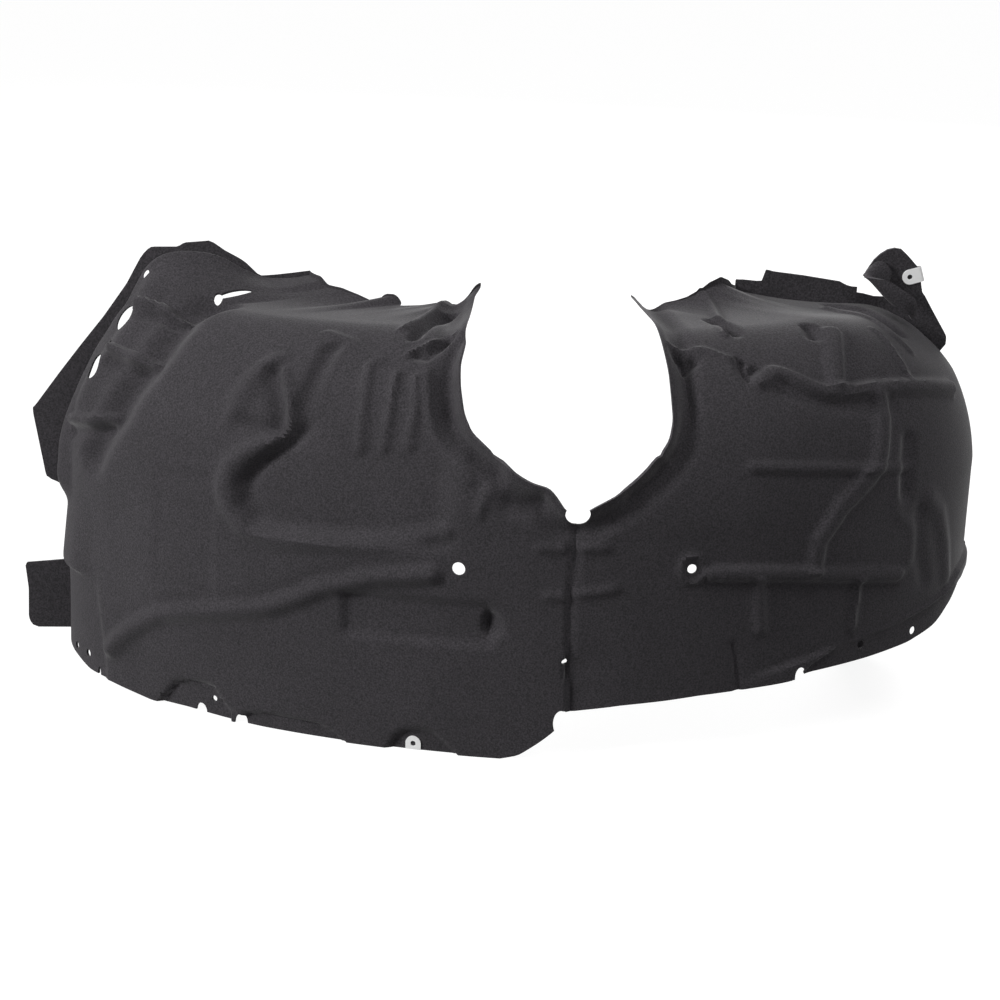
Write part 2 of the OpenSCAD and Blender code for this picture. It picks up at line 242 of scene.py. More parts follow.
def large_relief(q, s):
    # the swage that sweeps up from the end, with the felt standing out a little above it
    swage = [(-480, 40), (-469, 55), (-448, 76), (-426, 93), (-385, 106), (-330, 121), (-301, 137), (-282, 149),
             (-235, 165), (-178, 173)]
    h = 7.5 * ridge(q, s, swage, 14)
    h += 4 * smooth((s - table(q, swage)) / 26) * smooth((q + 480) / 60) * smooth((-150 - q) / 60) * smooth(
        (240 - s) / 90)
    # the large pocket, with its raised rim and the folds that run down into it
    border = table(s, [(200, -350), (218, -361), (240, -363), (262, -346), (280, -326), (300, -318),
                       (340, -322)], 4)
    h -= 9 * smooth((q - border) / 16) * smooth((-146 - q) / 36) * smooth((s - 190) / 16) * smooth((410 - s) / 150)
    h = press(h, q, s, ridge, pocket_marks)
    # the folds and pits beside the cut-out
    h = press(h, q, s, ridge, large_fold_marks)
    # the low recess with its round dimple, and the faint step of the panel at the left
    h -= 4.5 * patch(q, s, (-266, 103), (-108, 151), 7)
    h -= 8 * dimple(q, s, (-111, 128), 17)
    h -= 1.4 * patch(q, s, (-434, 120), (-374, 240), 5)
    # the end: the valley between the body and the web, the web standing out to its flange, its three
    # pleats with a valley below each, and the bulge above the tab
    h -= 12 * ridge(q, s, [(-500, 440), (-491, 396), (-482, 377), (-474, 342), (-474, 318), (-480, 299),
                           (-486, 271), (-497, 252), (-510, 228)], 24)
    h += 5 * ridge(q, s, [(-556, 400), (-535, 368), (-530, 330), (-538, 300), (-545, 270)], 24)
    stand_out = table(s, [(170, 0), (182, 9), (192, 13), (228, 10), (272, 2), (300, 0), (340, 2), (377, 10),
                          (395, 22), (410, 35), (425, 42), (444, 43), (465, 41), (480, 35), (500, 21),
                          (520, 9), (545, 3), (565, 0)], 6)
    h += stand_out * np.where(s < 300, smooth((-555 - q) / 30), np.clip((-507 - q) / 78, 0, 1))
    h += 7 * rib(q, s, [(-549, 384), (-524, 394), (-493, 393)], 7)
    h -= 4 * ridge(q, s, [(-530, 376), (-519, 380), (-497, 380)], 8)
    h += 7 * rib(q, s, [(-530, 331), (-496, 329), (-474, 328)], 7)
    h -= 4 * ridge(q, s, [(-525, 318), (-496, 316), (-480, 316)], 8)
    h += 7 * rib(q, s, [(-560, 252), (-518, 260), (-492, 267)], 7)
    h -= 4 * ridge(q, s, [(-556, 240), (-518, 248), (-497, 254)], 8)
    h += table(s, [(82, 0), (102, 1), (106, 7), (113, 7), (187, 0)]) * smooth((-505 - q) / 40)
    end_line = table(s, [(20, -490), (59, -497), (91, -503)], 3)
    h += 3 * smooth((q - end_line) / 5) * smooth((-440 - q) / 50) * smooth((112 - s) / 30)
    # the places along the lip that are pressed in
    h -= 6 * recess(q, s, [(-430, 0), (-414, 27), (-404, 32), (-388, 34), (-379, 33), (-373, 24), (-367, 15),
                           (-360, 8)], 5)
    h -= 5 * recess(q, s, [(-354, 4), (-347, 12), (-324, 16), (-299, 15), (-282, 13), (-270, 7), (-258, -2)], 4)
    h -= 5 * recess(q, s, [(-220, 2), (-212, 14), (-204, 20), (-187, 22), (-176, 21), (-158, 7), (-150, 0)], 6)
    return h


small_hole_q, small_hole_s, small_hole_collar = 139, 181, 13
long_rib = [(246, 344), (258, 348), (271, 352), (279, 349), (289, 342), (301, 332), (312, 326), (337, 323),
            (366, 322), (397, 318), (440, 310), (485, 298)]
small_ribs = [
    (5.5, 12, [(382, 398), (359, 373), (342, 352), (330, 334)]),
    (6.5, 12, [(368, 308), (347, 262), (334, 248), (298, 225), (274, 197), (269, 172)]),
    (3.4, 6.5, [(208, 266), (250, 262), (289, 258), (378, 246)]),
    (6, 10, [(160, 176), (209, 172), (253, 167), (310, 158), (361, 149)])]
small_ridges = [
    (4.5, 11, [(210, 162), (212, 118)]),
    (4.5, 7, [(317, 150), (310, 106)]),
    (3, 6, [(442, 392), (427, 352), (420, 324)])]
small_fold_marks = [
    (-9, 14, [(303, 470), (287, 444), (271, 420)]),
    (4, 8, [(425, 560), (340, 496), (281, 446), (258, 415)]),
    (-9, 11, [(165, 381), (169, 367), (186, 375)]),
    (3, 7, [(166, 397), (187, 389), (209, 389), (221, 380), (233, 372)]),
    (-6.5, 10, [(240, 368), (234, 357), (237, 349), (250, 357)]),
    (-6, 12, [(370, 416), (355, 396)]),
    (-5, 12, [(165, 362), (160, 345), (155, 325), (143, 305), (129, 284), (115, 272), (95, 258), (72, 248)]),
    (2.5, 7, [(516, 473), (496, 451), (480, 409), (463, 380), (460, 350)]),
    (-4, 12, [(535, 470), (520, 440), (502, 405), (486, 375)])]
hidden_end_bulges = [
    (-6, 13, [(386, 268), (377, 246), (374, 226)]),
    (1.6, 10, [(362, 236), (361, 212), (370, 200), (384, 188), (382, 165), (370, 150)]),
    (-2.5, 13, [(391, 204), (390, 165), (398, 135)]),
    (3.5, 16, [(405, 212), (421, 196), (432, 160), (436, 128)])]


def small_relief(q, s):
    h = 6.5 * rib(q, s, long_rib, 11)
    h -= 2 * ridge(q, s, [(262, 330), (290, 320), (312, 309), (352, 306), (380, 301)], 12)
    # the low collar round the hole
    h += 3 * smooth(1 - np.abs(np.hypot(q - small_hole_q, s - small_hole_s) - small_hole_collar) / 5)
    h = press(h, q, s, rib, small_ribs)
    h = press(h, q, s, ridge, small_ridges)
    # the folds and pits beside the cut-out, and the bulges at the hidden end, which is drawn in
    h = press(h, q, s, ridge, small_fold_marks)
    h = press(h, q, s, ridge, hidden_end_bulges)
    drawn_in = table(s, [(60, 16), (110, 14), (160, 10), (220, 5), (300, 6), (345, 11), (390, 12), (450, 10)])
    h -= drawn_in * smooth((q - 400) / 110)
    # the set-out strip along the lip, and the pressed crease beside the notch
    edge = [(188, 62), (205, 72), (282, 88), (333, 96), (367, 101), (422, 112), (470, 122)]
    h += 4.5 * smooth((q - 180) / 60) * smooth((table(q, edge) - s) / 5 + 0.5)
    h -= 3 * ridge(q, s, [(182, 104), (186, 80), (188, 60)], 6)
    h -= 5 * smooth((q - table(s, [(60, 246), (76, 262), (92, 296)])) / 6) * smooth(
        (table(q, [(240, 68), (264, 84), (296, 92), (373, 103), (422, 112)]) - s) / 5)
    return h


# Both lobes and the live hinge between them, with the short ribs that cross the hinge
hinge = [(37, 0), (57, 4), (78, 1), (89, -4), (106, 4), (160, 6), (188, 10), (223, 13)]


def relief(q, s):
    line = table(s, hinge, 4)
    lapped = smooth((118 - s) / 30)
    return (np.where(q < 0, large_relief(q, s), small_relief(q, s))
            - 2.6 * smooth(1 - np.abs(q - line) / 8) * smooth((240 - s) / 20)
            + 2.5 * ridge(q, s, [(-52, 204), (-6, 204)], 8) + 2.5 * ridge(q, s, [(18, 204), (45, 204)], 8)
            + 2.5 * ridge(q, s, [(-40, 158), (-4, 158)], 8) + 2.5 * ridge(q, s, [(14, 160), (54, 164)], 8)
            - 4 * lapped * smooth((q - line) / 4 + 0.5) * smooth((60 - q) / 60))


# The blank: how many columns and rows of cells it has on each stretch of the mould
large_cols, middle_cols, small_cols, flange_cols = 134, 40, 122, 8
wall_rows, corner_rows, inboard_rows, upstand_rows = 78, 46, 32, 8
first_body = flange_cols
cut_left = first_body + large_cols
cut_right = cut_left + middle_cols
last_body = cut_right + small_cols
cols = last_body + flange_cols
inboard_end = wall_rows + corner_rows + inboard_rows
rows = inboard_end + upstand_rows

bpy.ops.mesh.primitive_grid_add(x_subdivisions=cols, y_subdivisions=rows, size=1)
felt = bpy.context.object
felt.name = felt.data.name = "felt_liner"
flat = np.empty(len(felt.data.vertices) * 3)
felt.data.vertices.foreach_get("co", flat)
flat = flat.reshape(-1, 3)
col = np.rint((flat[:, 0] + 0.5) * cols).astype(int)
row = np.rint((flat[:, 1] + 0.5) * rows).astype(int)

# Where each column and row of the blank lands on the mould
every_row = np.arange(rows + 1)
s_rows = np.interp(every_row, [0, wall_rows, wall_rows + corner_rows, inboard_end, rows],
                   [0, side_s, corner_z + corner_run, corner_z + corner_run + inboard_w,
                    corner_z + corner_run + inboard_w])
s_side = np.maximum(s_rows, side_s)
u_left = u_at(table(s_side, cut_left_side, 5), s_side)
u_right = u_at(table(s_side, cut_right_side, 5), s_side)
inner = np.clip(col, first_body, last_body)
u = np.select(
    [inner <= cut_left, inner <= cut_right],
    [-1 + (u_left[row] + 1) * (inner - first_body) / large_cols,
     u_left[row] + (u_right[row] - u_left[row]) * (inner - cut_left) / middle_cols],
    u_right[row] + (1 - u_right[row]) * (inner - cut_right) / small_cols)
q = u * np.where(u < 0, large_run, small_run)
bottom = profile_at(table(mould(u, np.full(u.shape, bottom_s))[:, 0], cut_bottom, 4))
wall_top = np.where((inner > cut_left) & (inner < cut_right), bottom, side_s)
s = np.where(row <= wall_rows, lip(q) + (wall_top - lip(q)) * row / wall_rows, s_rows[row])
past = np.clip((s - corner_z - corner_run) / inboard_w, 0, 1)
s = s - past * table(q, rear_trim, 3)
base = mould(u, s)
normal = facing(u, s)

# The rim of the cut-out is turned out, with a soft groove behind it
rim = kdtree.KDTree(len(row))
on_rim = (((col == cut_left) | (col == cut_right)) & (row >= wall_rows)) | (
    (row == wall_rows) & (col > cut_left) & (col < cut_right))
for k in np.flatnonzero(on_rim):
    rim.insert(base[k], int(k))
rim.balance()
from_rim = np.array([rim.find(p)[2] for p in base])
rim_turn, rim_w, groove_d, groove_at, groove_half = 7, 11, 4.5, 19, 14
flare = (rim_turn * smooth(1 - from_rim / rim_w)
         - groove_d * smooth(1 - np.abs(from_rim - groove_at) / groove_half))
point = base + normal * (relief(q, s) + flare)[:, None]

# The rear edge stands up: most of its height comes gently, the rest over the last rows
gentle, sudden, bend = 0.8, 0.2, 2.2
point[:, 2] += table(q, upstand, 3) * (
    gentle * past ** bend + sudden * np.clip((row - inboard_end) / upstand_rows, 0, 1))


# The end flanges stand out from the ends of the arch in the plane of the wheel axis.
# Each outline is given as the place on the end of the profile, then across and up.
large_edge = [(30, -532, 30), (34, -539, 33), (41, -541.5, 41), (72, -540, 72), (97, -542, 97), (103, -540, 100),
              (140, -505, 140), (180, -494, 181), (184, -505, 186), (188, -515, 190), (192, -516.5, 195),
              (252, -525.5, 256), (259, -526, 263), (264, -523, 266), (300, -497, 300), (330, -474, 329),
              (360, -451, 357), (390, -427, 390), (408, -413, 415), (414, -407, 423), (420, -401, 427),
              (432, -388, 427), (442, -375, 427), (450, -369, 431), (463, -355, 432), (472, -343, 433),
              (482, -329, 423), (492, -318, 417), (499, -310, 412), (506, -303, 405), (512, -298, 400),
              (516, -294, 398), (530, -280, 399), (548, -262, 401), (565, -246.6, 403)]
small_edge = [(82, 409, 84), (88, 415, 88), (123, 411, 123), (128, 406, 127), (200, 410, 200), (322, 381, 328),
              (332, 381.5, 336), (338, 379, 341), (366, 368, 360), (380, 358.5, 377), (384, 355, 382),
              (390, 353.5, 394), (396, 352, 404), (401, 345, 412), (408, 334, 424), (414, 323, 426),
              (421, 309, 417), (426, 303, 408), (431, 298, 400), (436, 299, 392), (442, 296, 386),
              (452, 285, 387), (457, 280, 388.5), (463, 274, 392), (500, 238, 398), (530, 208, 402),
              (537, 202, 404), (540, 199.5, 403), (542, 197, 392), (549, 188, 393), (556, 179, 394),
              (565, 171.6, 394)]
row_of = {(int(c), int(r)): k for k, (c, r) in enumerate(zip(col, row))}
for body_edge, step, outline in ((first_body, -1, large_edge), (last_body, 1, small_edge)):
    stations, edge_x, edge_z = (list(v) for v in zip(*outline))
    ends = np.array([row_of[body_edge, int(r)] for r in every_row])
    outer = np.column_stack([table(s[ends], list(zip(stations, edge_x))), np.zeros(rows + 1),
                             table(s[ends], list(zip(stations, edge_z)))])
    for k in range(1, flange_cols + 1):
        at = np.array([row_of[body_edge + step * k, int(r)] for r in every_row])
        point[at] = point[ends] + (outer - point[ends]) * k / flange_cols
        point[row_of[body_edge, inboard_end + k]] = point[row_of[body_edge + step * k, inboard_end]]


# Each end has a low tab, between two places on the profile, and the web or the flap above a third
large_tab_from, large_tab_to, web_from = 31, 103, 179
small_tab_from, small_tab_to, flap_from = 84, 129, 322


def has_flange(side, s):
    if side < 0:
        return (large_tab_from < s) & (s < large_tab_to) | (s > web_from)
    return (small_tab_from < s) & (s < small_tab_to) | (s > flap_from)


# The blank is trimmed: the cells outside the outline are deleted, and the corners that come to lie
# on one another, where the flanges meet the rear edge, are merged
cell_col = np.empty(len(felt.data.polygons), int)
cell_row = np.empty(len(felt.data.polygons), int)
for k, face in enumerate(felt.data.polygons):
    corners = list(face.vertices)
    cell_col[k] = col[corners].min()
    cell_row[k] = row[corners].min()
end_s = {side: s[[row_of[first_body if side < 0 else last_body, int(r)] for r in every_row]]
         for side in (-1, 1)}
middle_s = {side: (end_s[side][:-1] + end_s[side][1:]) / 2 for side in (-1, 1)}
drop = ((cell_col >= cut_left) & (cell_col < cut_right) & (cell_row >= wall_rows)
        | (cell_col < first_body) & ~(has_flange(-1, middle_s[-1][cell_row]) & (cell_row < inboard_end))
        | (cell_col >= last_body) & ~(has_flange(1, middle_s[1][cell_row]) & (cell_row < inboard_end)))
point = np.array(axis) + point * mm
felt.data.vertices.foreach_set("co", point.ravel())
bpy.ops.object.mode_set(mode="EDIT")
bpy.ops.mesh.select_mode(type="FACE")
bpy.ops.object.mode_set(mode="OBJECT")
felt.data.polygons.foreach_set("select", drop)
corner = np.isin(np.arange(len(col)), [row_of[c, r] for c, r in (
    [(first_body - k, inboard_end) for k in range(flange_cols + 1)]
    + [(last_body + k, inboard_end) for k in range(flange_cols + 1)]
    + [(edge, inboard_end + k) for edge in (first_body, last_body) for k in range(flange_cols + 1)])])
group = felt.vertex_groups.new(name="corner")
group.add([int(k) for k in np.flatnonzero(corner)], 1.0, "REPLACE")
bpy.ops.object.mode_set(mode="EDIT")
bpy.ops.mesh.delete(type="FACE")
bpy.ops.mesh.select_mode(type="VERT")
bpy.ops.mesh.select_all(action="DESELECT")
bpy.ops.object.vertex_group_select()
bpy.ops.mesh.remove_doubles(threshold=0.0001)
bpy.ops.object.mode_set(mode="OBJECT")
felt.vertex_groups.clear()


# An sRGB colour as Blender's linear one
def hexed(code):
    def channel(c):
        c = int(c, 16) / 255
        return c / 12.92 if c <= 0.04045 else ((c + 0.055) / 1.055) ** 2.4
    return [channel(code[k:k + 2]) for k in (1, 3, 5)] + [1.0]


def add_node(tree, kind, settings=None, values=None, links=None):
    node = tree.nodes.new(kind)
    for name, value in (settings or {}).items():
        setattr(node, name, value)
    for name, value in (values or {}).items():
        node.inputs[name].default_value = value
    for name, socket in (links or {}).items():
        tree.links.new(socket, node.inputs[name])
    return node


# Needle-punched polyester felt, hot pressed: it is dull charcoal with paler fibres, a faint sheen at
# grazing angles and a rough, needled skin. Its tufts are about 1.6 mm apart, and it is a little darker or
# paler over patches of about 60 mm.
tufts_per_m, patches_per_m = 620, 16


def needled_felt(name, dark, light):
    material = bpy.data.materials.new(name)
    material.use_nodes = True
    tree = material.node_tree
    shader = tree.nodes["Principled BSDF"]
    shader.inputs["Roughness"].default_value = 0.92
    shader.inputs["Sheen Weight"].default_value = 0.12
    shader.inputs["Sheen Roughness"].default_value = 0.45
    shader.inputs["Specular IOR Level"].default_value = 0.25
    place = add_node(tree, "ShaderNodeTexCoord")
    fibres = add_node(tree, "ShaderNodeTexNoise", {}, {"Scale": tufts_per_m, "Detail": 3, "Roughness": 0.6},
                      {"Vector": place.outputs["Object"]})
    cloud = add_node(tree, "ShaderNodeTexNoise", {}, {"Scale": patches_per_m, "Detail": 4, "Roughness": 0.55},
                     {"Vector": place.outputs["Object"]})
    ramp = add_node(tree, "ShaderNodeValToRGB", {}, {}, {"Fac": fibres.outputs["Fac"]})
    ramp.color_ramp.elements[0].position = 0.34
    ramp.color_ramp.elements[0].color = hexed(dark)
    ramp.color_ramp.elements[1].position = 0.68
    ramp.color_ramp.elements[1].color = hexed(light)
    shade = add_node(tree, "ShaderNodeMapRange", {},
                     {"From Min": 0.3, "From Max": 0.7, "To Min": 0.9, "To Max": 1.08},
                     {"Value": cloud.outputs["Fac"]})
    tint = add_node(tree, "ShaderNodeMix", {"data_type": "RGBA", "blend_type": "MULTIPLY"}, {"Factor": 1.0})
    tree.links.new(ramp.outputs["Color"], tint.inputs["A"])
    tree.links.new(shade.outputs["Result"], tint.inputs["B"])
    tree.links.new(tint.outputs["Result"], shader.inputs["Base Color"])
    bump = add_node(tree, "ShaderNodeBump", {}, {"Strength": 0.55, "Distance": 0.0007},
                    {"Height": fibres.outputs["Fac"]})
    tree.links.new(bump.outputs["Normal"], shader.inputs["Normal"])
    return material


felt_face = needled_felt("needled polyester felt", "#1d1c1e", "#3b383c")
felt_cut = needled_felt("cut edge of the felt", "#302e31", "#4b484c")
felt.data.materials.append(felt_face)
felt.data.materials.append(felt_cut)


def apply(piece, *modifiers):
    bpy.context.view_layer.objects.active = piece
    for modifier in modifiers:
        bpy.ops.object.modifier_apply(modifier=modifier.name)


def shade_by_angle(piece, degrees):
    bpy.ops.object.select_all(action="DESELECT")
    piece.select_set(True)
    bpy.ops.object.shade_smooth_by_angle(angle=math.radians(degrees))


thick = felt.modifiers.new("thickness", "SOLIDIFY")
thick.thickness = felt_t * mm
thick.offset = -1
thick.use_even_offset = True
thick.thickness_clamp = 1.5
thick.material_offset_rim = 1
apply(felt, thick)


# A place on the felt, square to the mould and as far off it as lift says
def on_felt(q, s, lift=0.0):
    u = np.array([q / (large_run if q < 0 else small_run)])
    s = np.array([float(s)])
    z = facing(u, s)[0]
    x = unit(mould(u + u_step, s) - mould(u - u_step, s))[0]
    y = np.cross(z, x)
    o = mould(u, s)[0] + z * lift
    place = Matrix(np.column_stack([x, y, z]).tolist()).to_4x4()
    place.translation = axis + Vector(o.tolist()) * mm
    return place


# The round tools that punch and notch the felt: diameters in millimetres, depths in metres
cutters = []


def round_tool(diameter, depth, *placing):
    bpy.ops.mesh.primitive_cylinder_add(vertices=48, radius=diameter / 2 * mm, depth=depth)
    tool = bpy.context.object
    for step in placing:
        tool.data.transform(step)
    cutters.append(tool)


def punch(q, s, d, across=0.0, stretch=1.0, depth=0.06, lift=0.0):
    round_tool(d, depth, Matrix.Diagonal((1, stretch, 1, 1)), Matrix.Translation((across * mm, 0, 0)),
               on_felt(q, s, lift))


punch(-150, 180, 12.5)
punch(small_hole_q, small_hole_s, 9)
punch(-3, 94, 5)
# two pairs of fastening holes along the lip
large_pair_w, small_pair_w = 26, 66
for side in (-0.5, 0.5):
    punch(-531, 22, 8, across=large_pair_w * side)
    punch(353, 86, 8, across=small_pair_w * side)
# the two large holes and the small one between them in the web, and the hole in the recess of the lip
punch(-556, 365, 24, stretch=1.12, depth=0.04, lift=5)
punch(-546, 307, 24, stretch=1.12, depth=0.03)
punch(-545, 335, 5, depth=0.03)
punch(-379, 15, 6)
# the notches in the lip, with their place, width and depth
for notch_q, notch_w, notch_d in ((-391, 13, 8), (-353, 12, 9), (-10, 15, 13), (253, 12, 10), (-500, 5, 8)):
    punch(notch_q, float(lip(np.array([notch_q]))[0]), notch_w, stretch=2 * notch_d / notch_w)


def upright(x, y, z, width, length, turn):
    round_tool(1, 0.05, Matrix.Diagonal((width, length, 1, 1)), Matrix.Rotation(math.radians(turn), 4, "Z"),
               Matrix.Translation(axis + Vector((x, y, z)) * mm))


# the long slot at the top of the larger lobe
upright(-318, -33, 380, 6, 36, -72)

# the notch between the flap and the body, cut square through the flange
notch_outline = [(291, 381), (292, 399), (300, 398), (319, 376.5), (308, 377), (297, 380)]
notch_back, notch_deep = 8, 14
bpy.ops.mesh.primitive_circle_add(vertices=len(notch_outline), fill_type="NGON")
notch = bpy.context.object
for vertex, (x, z) in zip(notch.data.vertices, notch_outline):
    vertex.co = axis + Vector((x, notch_back, z)) * mm
deep = notch.modifiers.new("depth", "SOLIDIFY")
deep.thickness = notch_deep * mm
deep.offset = 1 if notch.data.polygons[0].normal.y < 0 else -1
apply(notch, deep)
cutters.append(notch)

# the wide end of the long slot
slot_end = len(cutters)
upright(-333, -38, 380, 8, 9, -60)

# the slot in the strip at the top of the web, and the round relief notch below the cut-out
for x, y, z, width, tall, turn, depth in ((-406, 0, 401, 4, 9, -32, 0.02), (11, -260, 237, 23, 23, 0, 0.1)):
    round_tool(1, depth, Matrix.Diagonal((width, tall, 1, 1)), Matrix.Rotation(math.radians(turn), 4, "Z"),
               Matrix.Rotation(math.pi / 2, 4, "X"), Matrix.Translation(axis + Vector((x, y, z)) * mm))


def cut_out(tools):
    bpy.ops.object.select_all(action="DESELECT")
    for tool in tools:
        tool.select_set(True)
    bpy.context.view_layer.objects.active = tools[0]
    if len(tools) > 1:
        bpy.ops.object.join()
    holes = felt.modifiers.new("holes", "BOOLEAN")
    holes.operation = "DIFFERENCE"
    holes.solver = "MANIFOLD"
    holes.object = tools[0]
    apply(felt, holes)
    bpy.data.objects.remove(tools[0])


# the slot's wide end overlaps the slot, so it is cut on its own
cut_out([cutters.pop(slot_end)])
cut_out(cutters)
shade_by_angle(felt, 40)
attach(felt, "root")
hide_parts("liner")

# ---------------------------------------------------------------- the return panel
# The hidden end of the smaller lobe runs on as a flat return in the plane of the wheel axis, which
# reaches down to the floor. It is the same pressed felt, trimmed with rounded corners.
panel_edge, panel_front, panel_corner = small_reach - 18.5, 2.0, 9.0
panel_outline = [(0, 190), (-2, 150), (-3, 96), (-84, 0), (-120, 0), (-120, 40), (-66, 190)]
bpy.ops.mesh.primitive_circle_add(vertices=len(panel_outline), fill_type="NGON")
panel = bpy.context.object
panel.name = panel.data.name = "felt_return"
for vertex, (x, z) in zip(panel.data.vertices, panel_outline):
    vertex.co = axis + Vector((panel_edge + x, panel_front, z)) * mm
bpy.ops.object.mode_set(mode="EDIT")
bpy.ops.mesh.select_all(action="SELECT")
bpy.ops.mesh.bevel(offset=panel_corner * mm, segments=6, affect="VERTICES")
bpy.ops.mesh.normals_make_consistent(inside=False)
bpy.ops.object.mode_set(mode="OBJECT")
panel.data.materials.append(felt_face)
panel.data.materials.append(felt_cut)
thick = panel.modifiers.new("thickness", "SOLIDIFY")
thick.thickness = felt_t * mm
thick.offset = -1 if panel.data.polygons[0].normal.y > 0 else 1
thick.material_offset_rim = 1
soft = panel.modifiers.new("worn edge", "BEVEL")
soft.width = 0.6 * mm
soft.segments = 2
apply(panel, thick, soft)
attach(panel, "root")
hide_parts("liner")

# ---------------------------------------------------------------- the fold of the flap
# The flap at the smaller lobe is folded over at its inner edge: the felt comes round towards the wing and
# runs down to the body as a short front panel. It is the same felt, pressed in the same mould.
fold_t = 3.0
fold_lines = [
    [(299, 4, 396), (304, 2, 406), (312, 0, 414), (320, -2, 409), (326, -2, 398)],
    [(296.5, -4, 398), (299, -7, 404), (303, -9, 405), (309, -9, 398), (316, -8, 388)],
    [(295, -13, 401), (298, -14, 402), (303, -15, 398), (309, -15, 391), (316, -15, 384)],
    [(297, -22, 402), (303, -23, 396), (309, -23, 389), (315, -23, 382), (321, -22, 377)],
    [(306, -26, 401), (310, -27, 393), (315, -27, 386), (321, -27, 380), (326, -26, 374)],
    [(318, -27, 400), (321, -29, 392), (325, -29, 385), (329, -29, 378), (332, -28, 371)],
    [(330, -27, 390), (332, -29, 385), (335, -29, 380), (337, -28, 374), (338, -27, 366)],
    [(341, -26, 384), (342, -27, 380), (343, -27, 375), (343, -26, 369), (341, -25, 362)],
    [(345, -24, 379), (346, -24, 375), (346, -24, 371), (345, -23, 365), (343, -22, 358)]]
steps_round, steps_down = len(fold_lines) - 1, len(fold_lines[0]) - 1
bpy.ops.mesh.primitive_grid_add(x_subdivisions=steps_round, y_subdivisions=steps_down, size=1)
fold = bpy.context.object
fold.name = fold.data.name = "felt_flap_fold"
for vertex in fold.data.vertices:
    line = fold_lines[round((vertex.co.x + 0.5) * steps_round)]
    vertex.co = axis + Vector(line[round((vertex.co.y + 0.5) * steps_down)]) * mm
fold.data.materials.append(felt_face)
fold.data.materials.append(felt_cut)
round_off = fold.modifiers.new("rounded", "SUBSURF")
round_off.levels = round_off.render_levels = 3
thick = fold.modifiers.new("thickness", "SOLIDIFY")
thick.thickness = fold_t * mm
thick.offset = 0
thick.material_offset_rim = 1
apply(fold, round_off, thick)
shade_by_angle(fold, 50)
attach(fold, "root")
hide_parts("liner")

# ---------------------------------------------------------------- the spring clips
# Two sheet-steel spring clips pushed onto the edge of the felt, with a screw hole each.
# They are stamped and bent spring steel with a bright zinc finish.
clip_w, clip_l, clip_t, clip_gap, clip_off_edge = 15.0, 18.0, 0.8, 0.25, 0.5
tip_half_squared = 0.3
screw_r, screw_up, collar_r, collar_h, collar_down = 2.5, 10.0, 4.0, 3.0, 1.4

# Bright zinc on spring steel: pale and cold, with a soft, uneven gloss from a grain of about 1 mm, drawn
# coarser than the real spangle so that it shows
grains_per_m = 900
zinc = bpy.data.materials.new("bright zinc on spring steel")
zinc.use_nodes = True
tree = zinc.node_tree
shader = tree.nodes["Principled BSDF"]
shader.inputs["Metallic"].default_value = 0.6
shader.inputs["Base Color"].default_value = hexed("#c9c9cc")
place = add_node(tree, "ShaderNodeTexCoord")
grain = add_node(tree, "ShaderNodeTexNoise", {}, {"Scale": grains_per_m, "Detail": 2},
                 {"Vector": place.outputs["Object"]})
rough = add_node(tree, "ShaderNodeMapRange", {}, {"To Min": 0.42, "To Max": 0.6}, {"Value": grain.outputs["Fac"]})
tree.links.new(rough.outputs["Result"], shader.inputs["Roughness"])


# A strip is bent round the edge of the felt, from the front leaf to the back leaf, with rounded tips.
# A collar on the back leaf takes the screw.
def bent_clip(name, place):
    bpy.ops.mesh.primitive_grid_add(x_subdivisions=12, y_subdivisions=64, size=1)
    clip = bpy.context.object
    clip.name = clip.data.name = "spring_" + name
    bend_r = felt_t / 2 + clip_gap + clip_t / 2
    turn = math.pi * bend_r
    for vertex in clip.data.vertices:
        along = (vertex.co.y + 0.5) * (2 * clip_l + turn)
        if along < clip_l:
            y, z = clip_l - along, clip_gap + clip_t / 2
        elif along > clip_l + turn:
            y, z = along - clip_l - turn, -felt_t - clip_gap - clip_t / 2
        else:
            angle = (along - clip_l) / bend_r
            y, z = -bend_r * math.sin(angle), -felt_t / 2 + bend_r * math.cos(angle)
        past = max(0.0, y - (clip_l - clip_w / 2))
        half = math.sqrt(max(tip_half_squared, (clip_w / 2) ** 2 - past ** 2))
        vertex.co = Vector((2 * vertex.co.x * half, y - clip_off_edge, z)) * mm
    sheet = clip.modifiers.new("sheet", "SOLIDIFY")
    sheet.thickness = clip_t * mm
    sheet.offset = 0
    apply(clip, sheet)
    collar_z = -(felt_t + clip_gap + clip_t + collar_down)
    bpy.ops.mesh.primitive_cylinder_add(vertices=40, radius=collar_r * mm, depth=collar_h * mm,
                                        location=(0, screw_up * mm, collar_z * mm))
    collar = bpy.context.object
    bpy.ops.mesh.primitive_cylinder_add(vertices=40, radius=screw_r * mm, depth=2 * clip_w * mm,
                                        location=(0, screw_up * mm, 0))
    drill = bpy.context.object
    for operation, tool in (("UNION", collar), ("DIFFERENCE", drill)):
        cut = clip.modifiers.new("cut", "BOOLEAN")
        cut.operation = operation
        cut.solver = "MANIFOLD"
        cut.object = tool
        apply(clip, cut)
        bpy.data.objects.remove(tool)
    clip.data.transform(place)
    clip.data.materials.append(zinc)
    shade_by_angle(clip, 35)
    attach(clip, "root")
    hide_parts(name)


# one clip on the lip of the larger lobe, in its recess
lip_clip_q = np.array([-196.0])
lip_clip_s = lip(lip_clip_q)
bent_clip("lip_clip", on_felt(lip_clip_q[0], lip_clip_s[0], float(relief(lip_clip_q, lip_clip_s)[0])))

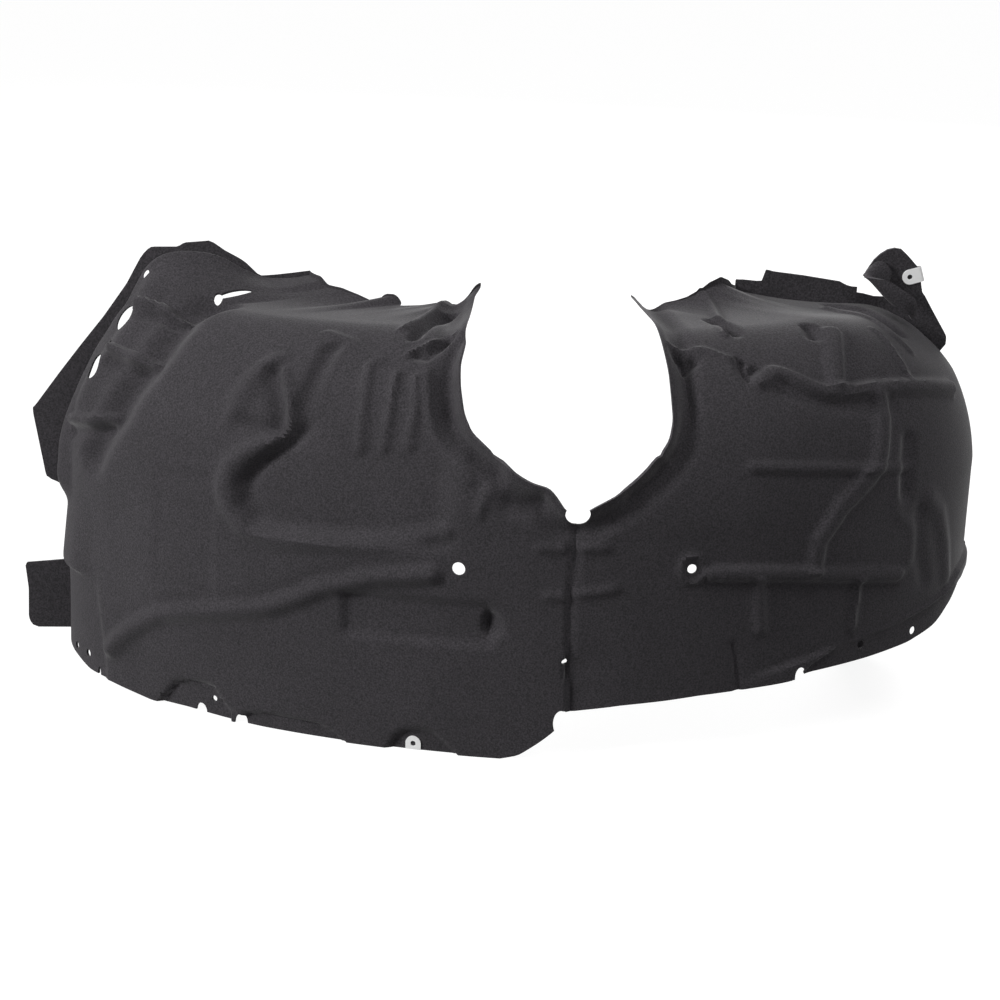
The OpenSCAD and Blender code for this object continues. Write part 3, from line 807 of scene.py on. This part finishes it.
# the other on the outer edge of the flap, square to that edge
inward = Vector((-0.965, 0, -0.262))
along_edge = Vector((0.262, 0, -0.965))
flap_seat = Matrix([[along_edge.x, inward.x, 0], [0, 0, -1], [along_edge.z, inward.z, 0]]).to_4x4()
flap_seat.translation = axis + Vector((352, -0.2, 399.3)) * mm
bent_clip("flap_clip", flap_seat)

# ---------------------------------------------------------------- floor, light and camera
# A plain white studio floor that keeps a soft shadow, and a dim room that looks white behind the liner.
# A broad soft lamp stands at the upper left in front, with weaker ones above, at the right and behind.
floor_size, floor_middle_y = 24, 4
bpy.ops.mesh.primitive_plane_add(size=floor_size, location=(0, floor_middle_y, cad_box[0].z))
floor = bpy.context.object
floor.name = floor.data.name = "studio_floor"


# The brightness that lights the object, and the one that the eye and glossy metal see
def pale_background(tree, lighting, seen):
    rays = add_node(tree, "ShaderNodeLightPath")
    either = add_node(tree, "ShaderNodeMath", {"operation": "MAXIMUM"})
    tree.links.new(rays.outputs["Is Camera Ray"], either.inputs[0])
    tree.links.new(rays.outputs["Is Glossy Ray"], either.inputs[1])
    level = add_node(tree, "ShaderNodeMapRange", {}, {"To Min": lighting, "To Max": seen},
                     {"Value": either.outputs["Value"]})
    return level.outputs["Result"]


# Seamless studio paper: matt, and grey where it gives light back, so that it doesn't light the felt from below
paper = bpy.data.materials.new("white studio paper")
paper.use_nodes = True
tree = paper.node_tree
shader = tree.nodes["Principled BSDF"]
shader.inputs["Base Color"].default_value = hexed("#6c6c6c")
shader.inputs["Roughness"].default_value = 0.9
glow = add_node(tree, "ShaderNodeEmission", {}, {"Color": (1, 1, 1, 1)},
                {"Strength": pale_background(tree, 0.0, 0.9)})
both = add_node(tree, "ShaderNodeAddShader")
tree.links.new(shader.outputs["BSDF"], both.inputs[0])
tree.links.new(glow.outputs["Emission"], both.inputs[1])
tree.links.new(both.outputs["Shader"], tree.nodes["Material Output"].inputs["Surface"])
floor.data.materials.append(paper)

scene = bpy.context.scene
world = bpy.data.worlds.new("pale room")
scene.world = world
world.use_nodes = True
sky = world.node_tree.nodes["Background"]
sky.inputs["Color"].default_value = (1, 1, 1, 1)
world.node_tree.links.new(pale_background(world.node_tree, 0.08, 1.0), sky.inputs["Strength"])

# the lamps and the camera look at the middle of the liner; powers are in watts
target = Vector((-0.0002, -0.0184, 0.215))


def soft_lamp(name, place, size, power):
    bpy.ops.object.light_add(type="AREA", location=place)
    lamp = bpy.context.object
    lamp.name = name
    lamp.data.size = size
    lamp.data.energy = power
    lamp.rotation_euler = (target - Vector(place)).to_track_quat("-Z", "Y").to_euler()


soft_lamp("key", (-2.7, -1.05, 1.8), 1.0, 128)
soft_lamp("top", (0.9, -0.7, 2.4), 1.4, 34)
soft_lamp("fill", (2.3, -2.3, 0.9), 1.6, 7)
soft_lamp("back", (0.9, 2.8, 1.2), 1.8, 55)

camera_distance, camera_tilt = 2.6, math.radians(18)
bpy.ops.object.camera_add(location=target + Vector(
    (0, -math.cos(camera_tilt) * camera_distance, math.sin(camera_tilt) * camera_distance)))
camera = bpy.context.object
camera.rotation_euler = (math.pi / 2 - camera_tilt, 0, 0)
camera.data.lens = 98.5
camera.data.sensor_width = 36
scene.camera = camera
scene.view_settings.view_transform = "Standard"

bpy.context.view_layer.update()
